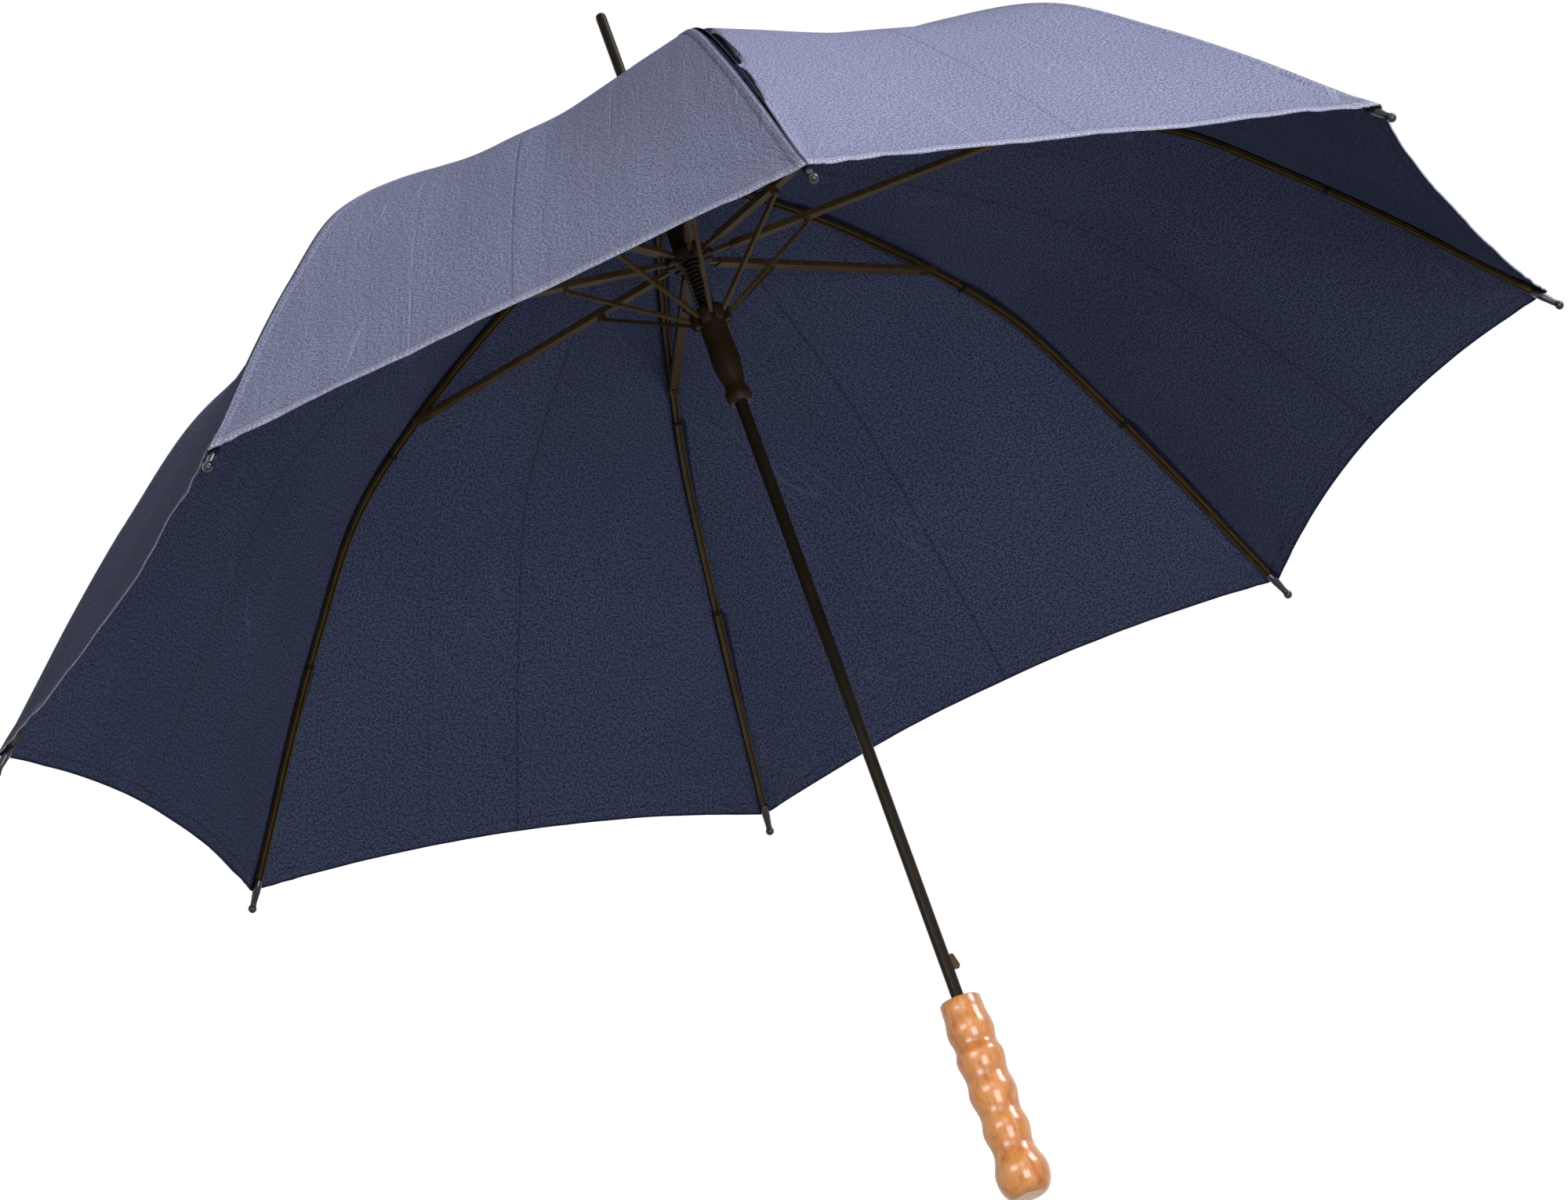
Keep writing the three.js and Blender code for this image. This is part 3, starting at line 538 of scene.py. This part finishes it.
def enamel_material(name, base, worn, gloss, specular):
    s = Shade(name)
    mottle = s.noise(s.place((120, 120, 40)), detail=4, roughness=0.6)
    fine = s.noise(s.place((1400, 1400, 1400)), detail=2)
    scratch = s.noise(s.place((900, 900, 25)), detail=3)
    bare = s.range(scratch, 0.66, 0.78, 0.0, 0.35)
    tone = s.mix(s.range(mottle, 0.3, 0.75), base, worn)
    tone = s.mix(bare, tone, rgb(92, 82, 72))
    normal = s.bump(s.math("ADD", fine, s.math("MULTIPLY", mottle, 1.5)), 0.00006, 0.4)
    return s.finish(
        Base_Color=tone,
        Roughness=s.range(mottle, 0.2, 0.8, gloss, gloss + 0.16),
        Normal=normal,
        Specular_IOR_Level=specular,
    )


def moulded_material(name, base, pale, gloss, specular):
    s = Shade(name)
    mottle = s.noise(s.place((70, 70, 70)), detail=4)
    grain = s.noise(s.place((2300, 2300, 2300)), detail=2)
    scuff = s.range(s.noise(s.place((260, 260, 520)), detail=4, roughness=0.7), 0.62, 0.8, 0.0, 0.5)
    tone = s.mix(s.range(mottle, 0.3, 0.8, 0.0, 0.5), base, pale)
    tone = s.mix(scuff, tone, pale)
    normal = s.bump(s.math("ADD", grain, s.math("MULTIPLY", mottle, 2.0)), 0.00005, 0.35)
    return s.finish(
        Base_Color=tone,
        Roughness=s.range(mottle, 0.2, 0.8, gloss, gloss + 0.14),
        Normal=normal,
        Specular_IOR_Level=specular,
    )


def wire_material(name):
    s = Shade(name)
    drawn = s.noise(s.place((700, 700, 700)), detail=3)
    tone = s.mix(s.range(drawn, 0.35, 0.7), rgb(30, 24, 19), rgb(66, 58, 50))
    return s.finish(
        Base_Color=tone,
        Metallic=0.85,
        Roughness=s.range(drawn, 0.2, 0.8, 0.3, 0.48),
        Normal=s.bump(drawn, 0.00003, 0.4),
    )


def thread_material(name, tone):
    s = Shade(name)
    twist = s.node("ShaderNodeTexWave", wave_type="BANDS", bands_direction="DIAGONAL")
    s.join(s.place((1, 1, 1)), twist.inputs["Vector"])
    twist.inputs["Scale"].default_value = 900
    twist.inputs["Distortion"].default_value = 1.5
    # the grooves of the twist are painted near black in the base colour: painted shade between the strands
    height = twist.outputs[1]
    return s.finish(
        Base_Color=s.mix(height, tone, rgb(8, 8, 12)),
        Roughness=0.75,
        Normal=s.bump(height, 0.0001, 0.6),
        Specular_IOR_Level=0.08,
        Sheen_Weight=0.04,
    )


def wood_material(name):
    s = Shade(name)
    swirl = s.noise(s.place((26, 26, 9)), detail=3)
    rings = s.noise(s.place((120, 120, 16)), detail=5, roughness=0.66)
    curl = s.noise(s.place((230, 230, 150)), detail=3, roughness=0.6)
    pores = s.noise(s.place((900, 900, 60)), detail=3, roughness=0.7)
    tone = s.ramp(rings, (
        (0.28, rgb(132, 66, 24)), (0.42, rgb(174, 101, 41)),
        (0.55, rgb(194, 125, 57)), (0.72, rgb(164, 89, 35)),
    ))
    tone = s.mix(s.range(swirl, 0.35, 0.7, 0.0, 0.5), tone, rgb(204, 138, 71))
    tone = s.mix(s.range(curl, 0.55, 0.7, 0.0, 0.35), tone, rgb(214, 153, 90))
    tone = s.mix(s.range(curl, 0.46, 0.34, 0.0, 0.4), tone, rgb(138, 66, 26))
    tone = s.mix(s.range(pores, 0.6, 0.75, 0.0, 0.4), tone, rgb(112, 54, 22))
    height = s.node("ShaderNodeSeparateXYZ")
    s.join(s.place((1, 1, 1)), height.inputs[0])
    # darker round each valley of the turning: painted shade in the grooves
    for z, _ in HANDLE_VALLEYS:
        near = s.range(s.math("ABSOLUTE", s.math("SUBTRACT", height.outputs[2], z * MM)), 0.0042, 0.0)
        tone = s.mix(s.math("MULTIPLY", near, 0.3), tone, rgb(130, 60, 23))
    relief = s.math("ADD", s.math("MULTIPLY", pores, 0.6), rings)
    return s.finish(
        Base_Color=tone,
        Roughness=s.range(rings, 0.2, 0.8, 0.34, 0.46),
        Normal=s.bump(relief, 0.0001, 0.3),
        Specular_IOR_Level=0.35,
        Coat_Weight=0.85,
        Coat_Roughness=0.16,
        Coat_IOR=1.5,
    )


# one fabric on both sides: the outside is written paler, painted light, and the inside darker, painted shade
# under the canopy
cloth_outside_lit = cloth_material(
    "cloth_outside_lit", plain=rgb(156, 160, 187), dark=rgb(104, 107, 136), thread=rgb(190, 192, 211),
    line=rgb(52, 54, 74), sheen=0.04, outside=True,
)
cloth_inside_shaded = cloth_material(
    "cloth_inside_shaded", plain=rgb(71, 77, 101), dark=rgb(37, 42, 63), thread=rgb(90, 94, 118),
    line=rgb(22, 24, 36), sheen=0.02, outside=False,
)
steel = enamel_material("black_enamel", rgb(54, 40, 22), rgb(72, 56, 34), 0.34, 0.16)
shaft_steel = enamel_material("shaft_enamel", rgb(25, 19, 13), rgb(35, 28, 20), 0.26, 0.08)
plastic = moulded_material("black_moulding", rgb(34, 23, 10), rgb(50, 36, 20), 0.42, 0.14)
cap_plastic = moulded_material("cap_moulding", rgb(34, 35, 48), rgb(52, 54, 68), 0.42, 0.35)
tip_plastic = moulded_material("tip_moulding", rgb(26, 26, 32), rgb(44, 44, 52), 0.12, 0.45)
wire = wire_material("oiled_wire")
thread = thread_material("dark_thread", rgb(18, 18, 26))
wood = wood_material("varnished_wood")


# cloth: two halves to each gore, one on each of its ribs
ROWS = 76
SEAM_COLUMNS = (0.0, 0.0022, 0.0048, 0.0078, 0.0105, 0.0135, 0.0175, 0.0215, 0.0255, 0.0295, 0.036)
WIDE_COLUMNS = 20


def row_share(i):
    """Closer rows at the crown and at the hem."""
    t = i / ROWS
    return min(max(t + 0.045 * math.sin(2 * math.pi * t) * (1 if t < 0.5 else 1.6), 0.0), 1.0)


def column_shares():
    """Places across half a gore, from the rib to the middle, closer beside the seam."""
    last = SEAM_COLUMNS[-1]
    rest = [last + (0.5 - last) * ((k + 1) / WIDE_COLUMNS) ** 1.1 for k in range(WIDE_COLUMNS)]
    return [*SEAM_COLUMNS, *rest]


def half_panel(number, side):
    gore = (number - 1) if side == "left" else (number - 2) % RIBS
    bm = bmesh.new()
    weave = bm.loops.layers.uv.new("weave")
    edges = bm.loops.layers.uv.new("edges")
    marks = bm.loops.layers.uv.new("marks")
    facts = {}
    layers = [[], []]
    shares = [row_share(i) for i in range(ROWS + 1)]
    columns = column_shares()
    turn = Matrix.Rotation(gore * TURN, 3, "Z")
    step = 0.002
    for along in shares:
        rows = [[], []]
        for t in columns:
            across = t if side == "left" else 1 - t
            p = cloth_point(gore, along, across)
            beyond = cloth_point(gore, min(along + step, 1), across)
            before = cloth_point(gore, max(along - step, 0), across)
            du = beyond - before
            dv = cloth_point(gore, along, across + step) - cloth_point(gore, along, across - step)
            n = du.cross(dv).normalized()
            chord = 2 * math.hypot(p.x, p.y) * math.sin(TURN / 2)
            # the hem is folded double
            hem = (1 - along) * RIB_LENGTH
            thick = CLOTH_THICKNESS + CLOTH_THICKNESS * smooth((HEM_WIDTH - hem) / 1.5)
            for layer in range(2):
                q = turn @ (p + n * (thick if layer else 0.0))
                vert = bm.verts.new(q * MM)
                facts[vert] = (
                    ((across - 0.5) * chord * MM, along * RIB_LENGTH * MM),
                    (t * chord * MM, hem * MM),
                    (seam_opening(number - 1, along) if side == "left" else 0.0, gore / RIBS),
                )
                rows[layer].append(vert)
        layers[0].append(rows[0])
        layers[1].append(rows[1])
    low, high = layers
    middle = len(columns) - 1
    for i in range(ROWS):
        for j in range(middle):
            top = bm.faces.new((high[i][j], high[i + 1][j], high[i + 1][j + 1], high[i][j + 1]))
            top.material_index = 0
            under = bm.faces.new((low[i][j], low[i][j + 1], low[i + 1][j + 1], low[i + 1][j]))
            under.material_index = 1
    for j in range(middle):
        bm.faces.new((low[ROWS][j], low[ROWS][j + 1], high[ROWS][j + 1], high[ROWS][j])).material_index = 0
        bm.faces.new((low[0][j + 1], low[0][j], high[0][j], high[0][j + 1])).material_index = 1
    for i in range(ROWS):
        bm.faces.new((low[i][0], low[i + 1][0], high[i + 1][0], high[i][0])).material_index = 1
        bm.faces.new((
            low[i + 1][middle], low[i][middle], high[i][middle], high[i + 1][middle],
        )).material_index = 1
    if side == "right":
        bmesh.ops.reverse_faces(bm, faces=bm.faces)
    for face in bm.faces:
        for loop in face.loops:
            loop[weave].uv, loop[edges].uv, loop[marks].uv = facts[loop.vert]
    name = f"cloth_{number}_{side}"
    piece = new_object(name, bm, [cloth_outside_lit, cloth_inside_shaded], angle=60)
    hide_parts(f"panel_{number}_{side}")
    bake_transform(piece)
    chord = 2 * CANOPY_RADIUS * math.sin(TURN / 2) * MM


# ribs: a smooth channel with a thinner tenon in the tip, and a plate with a round knuckle in the notch
def rib_piece(number):
    w, h = RIB_WIDTH / 2, RIB_DEPTH / 2
    t = RIB_WALL
    c = 0.55
    knuckle, half_plate = 1.75, 1.2
    section = [
        (-w, -h + 0.15), (-w, h - c), (-w + c * 0.3, h - c * 0.3), (-w + c, h),
        (w - c, h), (w - c * 0.3, h - c * 0.3), (w, h - c), (w, -h + 0.15), (w - 0.2, -h),
        (w - t, -h), (w - t, h - t), (-w + t, h - t), (-w + t, -h), (-w + 0.2, -h),
    ]
    start = 13 / RIB_LENGTH
    tenon = 1 - 10 / RIB_LENGTH
    bm = bmesh.new()
    rings = []
    stations = [(start + (tenon - start) * i / 72, 1.0) for i in range(73)]
    stations += [(tenon + 0.1 * (1 - tenon), 0.6), (1.0, 0.6)]
    for share, scale in stations:
        p, tangent = rib_point(share), rib_tangent(share)
        n = np.array([-tangent[1], tangent[0]])
        rings.append([
            ((p[0] + n[0] * v * scale) * MM, u * scale * MM, (p[1] + n[1] * v * scale) * MM)
            for u, v in section
        ])
    lofted(bm, rings)
    far = rib_point(start * 1.2)
    long = math.hypot(far[0] - NOTCH_PIVOT_RADIUS, NOTCH_PIVOT - far[1])
    back = np.linspace(math.pi / 2, 3 * math.pi / 2, 9)
    around = [(knuckle * math.cos(a), knuckle * math.sin(a)) for a in back]
    outline = [(long, -1.7), (long, 1.3)] + around
    tilt = math.atan2(NOTCH_PIVOT - far[1], far[0] - NOTCH_PIVOT_RADIUS)
    plates = []
    for y in (-half_plate, half_plate):
        plates.append([(
            (NOTCH_PIVOT_RADIUS + x * math.cos(tilt) + z * math.sin(tilt)) * MM,
            y * MM,
            (NOTCH_PIVOT - x * math.sin(tilt) + z * math.cos(tilt)) * MM,
        ) for x, z in outline])
    lofted(bm, plates)
    at_rib(bm, number)
    piece = new_object(f"rib_channel_{number}", bm, [steel], f"rib_{number}_arm", angle=50)
    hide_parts(f"rib_{number}")


def tip_piece(number):
    r, reach, ball = TIP_RADIUS, TIP_REACH, TIP_BALL
    bore = r - 0.7
    neck = r * 0.78
    profile = [
        (bore, -TIP_SOCKET), (r - 0.25, -TIP_SOCKET), (r, -TIP_SOCKET + 0.3), (r, -0.5), (r - 0.15, 0.4),
        (neck + 0.1, reach * 0.34), (neck, reach * 0.4),
        (neck, reach - 2.05 * ball), (neck + 0.15, reach - 1.85 * ball),
    ]
    for k in range(1, 10):
        a = -math.pi / 2 + (math.pi * k) / 10 + 0.35 * (1 - k / 10)
        profile.append((ball * math.cos(a) * 0.99, reach - ball + ball * math.sin(a)))
    profile += [(0.0, reach)]
    profile += [(0.0, 0.3), (bore, 0.3), (bore, -TIP_SOCKET)]
    bm = bmesh.new()
    turned(bm, profile, 28)
    end, tangent = rib_point(1.0), rib_tangent(1.0)
    lean = Matrix.Rotation(math.atan2(tangent[0], tangent[1]), 3, "Y")
    bmesh.ops.rotate(bm, verts=bm.verts, cent=(0, 0, 0), matrix=lean)
    bmesh.ops.translate(bm, verts=bm.verts, vec=(end[0] * MM, 0, end[1] * MM))
    at_rib(bm, number)
    piece = new_object(f"tip_ball_{number}", bm, [tip_plastic], f"rib_{number}_arm", angle=45)
    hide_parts(f"tip_{number}")


# thread wound round the rib four times, with a loose end
def wound_tie(number, letter, share):
    p, tangent = rib_point(share), rib_tangent(share)
    n = np.array([-tangent[1], tangent[0]])
    along = np.array([tangent[0], 0, tangent[1]])
    bm = bmesh.new()
    for k in range(4):
        rings = []
        shift = (k - 1.5) * 0.62
        for a in circle(20):
            cx, cy = math.cos(a), math.sin(a)
            u = (RIB_WIDTH / 2 + 0.35) * max(-1, min(1, cx * 1.35))
            v = (RIB_DEPTH / 2 + 0.3) * max(-1, min(1, cy * 1.35))
            lean = shift + 0.5 * math.sin(a + k)
            centre = np.array([p[0] + n[0] * v + tangent[0] * lean, u, p[1] + n[1] * v + tangent[1] * lean])
            out = np.array([n[0] * cy, cx, n[1] * cy])
            rings.append([
                (centre + 0.33 * (math.cos(b) * out + math.sin(b) * along)) * MM for b in circle(6)
            ])
        lofted(bm, rings + [rings[0]], close_ends=False)
    tail = []
    for i in range(7):
        f = i / 6
        below = 1.5 + 1.2 * f
        centre = np.array([
            p[0] - n[0] * below + tangent[0] * 1.6 * f,
            RIB_WIDTH / 2 + 0.4 + 1.6 * f,
            p[1] - n[1] * below + tangent[1] * 1.6 * f,
        ])
        tail.append([
            tuple((centre + 0.28 * (math.cos(b) * along + math.sin(b) * np.array([0, 1, 0]))) * MM)
            for b in circle(6)
        ])
    lofted(bm, tail)
    bmesh.ops.remove_doubles(bm, verts=bm.verts, dist=1e-6)
    at_rib(bm, number)
    new_object(f"tie_{number}_{letter}", bm, [thread], f"rib_{number}_arm", angle=70)


def coil():
    radius, wire_radius, turns, lead, per_turn = 6.15, 0.55, 28, 0.25, 22
    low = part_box("opening_spring")[0].z / MM + wire_radius
    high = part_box("opening_spring")[1].z / MM - wire_radius
    steps = turns * per_turn
    pitch = (high - low) / (turns - 2 * lead)
    up = np.array([0, 0, 1])
    bm = bmesh.new()
    rings = []
    for i in range(steps + 1):
        turn = i / per_turn
        z = low + min(max(turn - lead, 0), turns - 2 * lead) * pitch
        a = 2 * math.pi * turn
        out = np.array([math.cos(a), math.sin(a), 0])
        centre = out * radius + np.array([0, 0, z])
        rings.append([
            tuple((centre + wire_radius * (math.cos(b) * out + math.sin(b) * up)) * MM) for b in circle(9)
        ])
    lofted(bm, rings)
    piece = new_object("spring_coil", bm, [wire], angle=60)
    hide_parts("opening_spring")
    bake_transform(piece)


def handle_piece():
    knob_height, knob_radius = HANDLE_KNOB
    profile = [(0.0, 0.0), (HANDLE_BOTTOM - 0.6, 0.0)]
    for i in range(1, 21):
        a = math.pi / 2 * i / 20
        radius = HANDLE_BOTTOM + (knob_radius - HANDLE_BOTTOM) * math.sin(a)
        profile.append((radius, knob_height * (1 - math.cos(a))))
    turns = [HANDLE_KNOB]
    for valley, crest in zip(HANDLE_VALLEYS, HANDLE_CRESTS):
        turns += [valley, crest]
    turns.append(HANDLE_NECK)
    for (z0, r0), (z1, r1) in zip(turns, turns[1:]):
        for i in range(1, 15):
            t = i / 14
            profile.append((r0 + (r1 - r0) * (1 - math.cos(math.pi * t)) / 2, z0 + (z1 - z0) * t))
    top = HANDLE_HEIGHT
    profile += [(HANDLE_RIM + 0.1, top - 0.7), (HANDLE_RIM - 0.1, top - 0.2), (HANDLE_RIM - 0.6, top)]
    profile += [(HANDLE_BORE + 0.1, top), (HANDLE_BORE, top - 0.3)]
    profile += [(HANDLE_BORE, WOOD_UNDER_SHAFT), (0.0, WOOD_UNDER_SHAFT)]
    bm = bmesh.new()
    turned(bm, profile, 96)
    piece = new_object("handle_turning", bm, [wood], "frame", angle=50)
    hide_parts("handle")


for number in range(1, RIBS + 1):
    half_panel(number, "left")
    half_panel(number, "right")
    rib_piece(number)
    tip_piece(number)
    for letter, share in TIE_SHARES.items():
        wound_tie(number, letter, share)
    softened(f"stretcher_{number}", f"stretcher_bar_{number}", 0.22, steel)
    softened(f"link_{number}", f"link_bar_{number}", 0.3, steel)
coil()
handle_piece()
softened("shaft", "shaft_tube", 0.2, shaft_steel)
softened("ferrule", "ferrule_rod", 0.25, shaft_steel)
softened("crown_cap", "crown_washer", 0.25, cap_plastic)
softened("top_notch", "notch_disc", 0.2, plastic)
softened("notch_wire", "notch_ring", 0.05, wire)
softened("latch", "latch_plate", 0.25, steel)
softened("collar", "collar_moulding", 0.3, plastic)
softened("runner", "runner_moulding", 0.3, plastic)


# floor, lights, camera, in metres
FLOOR_RADIUS = 3.4
FLOOR_HEIGHT = -1.62


def stage_floor():
    bm = bmesh.new()
    for a in circle(128):
        bm.verts.new((FLOOR_RADIUS * math.cos(a), FLOOR_RADIUS * math.sin(a), 0))
    bm.faces.new(bm.verts)
    s = Shade("pale_floor")
    cast = s.noise(s.place((3, 3, 3)), detail=4)
    tone = s.mix(s.range(cast, 0.3, 0.7), rgb(226, 226, 228), rgb(232, 232, 234))
    material = s.finish(Base_Color=tone, Roughness=0.9, Specular_IOR_Level=0.1)
    floor = new_object("floor", bm, [material])
    floor.location.z = FLOOR_HEIGHT


def lamp(name, place, target, size, power, spread=180):
    """A soft box; a small spread, in degrees, stands for a grid on it."""
    data = bpy.data.lights.new(name, "AREA")
    data.shape = "RECTANGLE"
    data.size, data.size_y = size
    data.energy = power
    data.spread = math.radians(spread)
    made = bpy.data.objects.new(name, data)
    scene.collection.objects.link(made)
    made.location = place
    made.rotation_mode = "QUATERNION"
    made.rotation_quaternion = (Vector(target) - Vector(place)).to_track_quat("-Z", "Y")
    made.visible_camera = False


def world_light():
    """A dim sky, which camera, glossy and transmission rays see as white."""
    world = bpy.data.worlds.new("studio")
    scene.world = world
    world.use_nodes = True
    tree = world.node_tree
    tree.nodes.clear()
    path = tree.nodes.new("ShaderNodeLightPath")
    seen = tree.nodes.new("ShaderNodeMath")
    seen.operation = "MAXIMUM"
    direct = tree.nodes.new("ShaderNodeMath")
    direct.operation = "MAXIMUM"
    tree.links.new(path.outputs["Is Camera Ray"], direct.inputs[0])
    tree.links.new(path.outputs["Is Glossy Ray"], direct.inputs[1])
    tree.links.new(direct.outputs[0], seen.inputs[0])
    tree.links.new(path.outputs["Is Transmission Ray"], seen.inputs[1])
    plain = tree.nodes.new("ShaderNodeBackground")
    plain.inputs["Color"].default_value = (0.86, 0.9, 1.0, 1.0)
    plain.inputs["Strength"].default_value = 0.09
    white = tree.nodes.new("ShaderNodeBackground")
    white.inputs["Color"].default_value = (1, 1, 1, 1)
    white.inputs["Strength"].default_value = 1.0
    mix = tree.nodes.new("ShaderNodeMixShader")
    out = tree.nodes.new("ShaderNodeOutputWorld")
    tree.links.new(seen.outputs[0], mix.inputs[0])
    tree.links.new(plain.outputs[0], mix.inputs[1])
    tree.links.new(white.outputs[0], mix.inputs[2])
    tree.links.new(mix.outputs[0], out.inputs[0])


def photo_camera():
    """The camera of the photograph."""
    right = Vector((0.02578, 0.94748, -0.31878))
    up = Vector((0.38479, 0.28491, 0.87793))
    forward = right.cross(up) * -1
    up = right.cross(forward).normalized()
    forward.normalize()
    right.normalize()
    data = bpy.data.cameras.new("photo_view")
    data.sensor_width = 36
    data.lens = 183.41
    data.clip_start, data.clip_end = 0.1, 60
    made = bpy.data.objects.new("photo_view", data)
    scene.collection.objects.link(made)
    turn = Matrix((right, up, -forward)).transposed().to_4x4()
    made.matrix_world = Matrix.Translation((4.6186, -0.7447, -1.3698)) @ turn
    scene.camera = made


stage_floor()
lamp("key", (1.42, 3.18, 2.85), (0, 0, 0.5), (1.7, 2.3), 170)
lamp("back", (-3.76, 0, 1.87), (0, 0, 0.6), (2.0, 2.0), 80)
lamp("window", (0.73, -0.457, 0.32), (0, 0, 0.066), (0.5, 0.3), 0.42, spread=56)
lamp("front", (3.3, 0.1, 1.45), (0, 0, 0.6), (1.4, 1.2), 16)
lamp("low_fill", (3.05, 0.54, -0.53), (0, 0, 0.55), (1.5, 1.3), 60)
world_light()
photo_camera()
scene.view_settings.view_transform = "Standard"
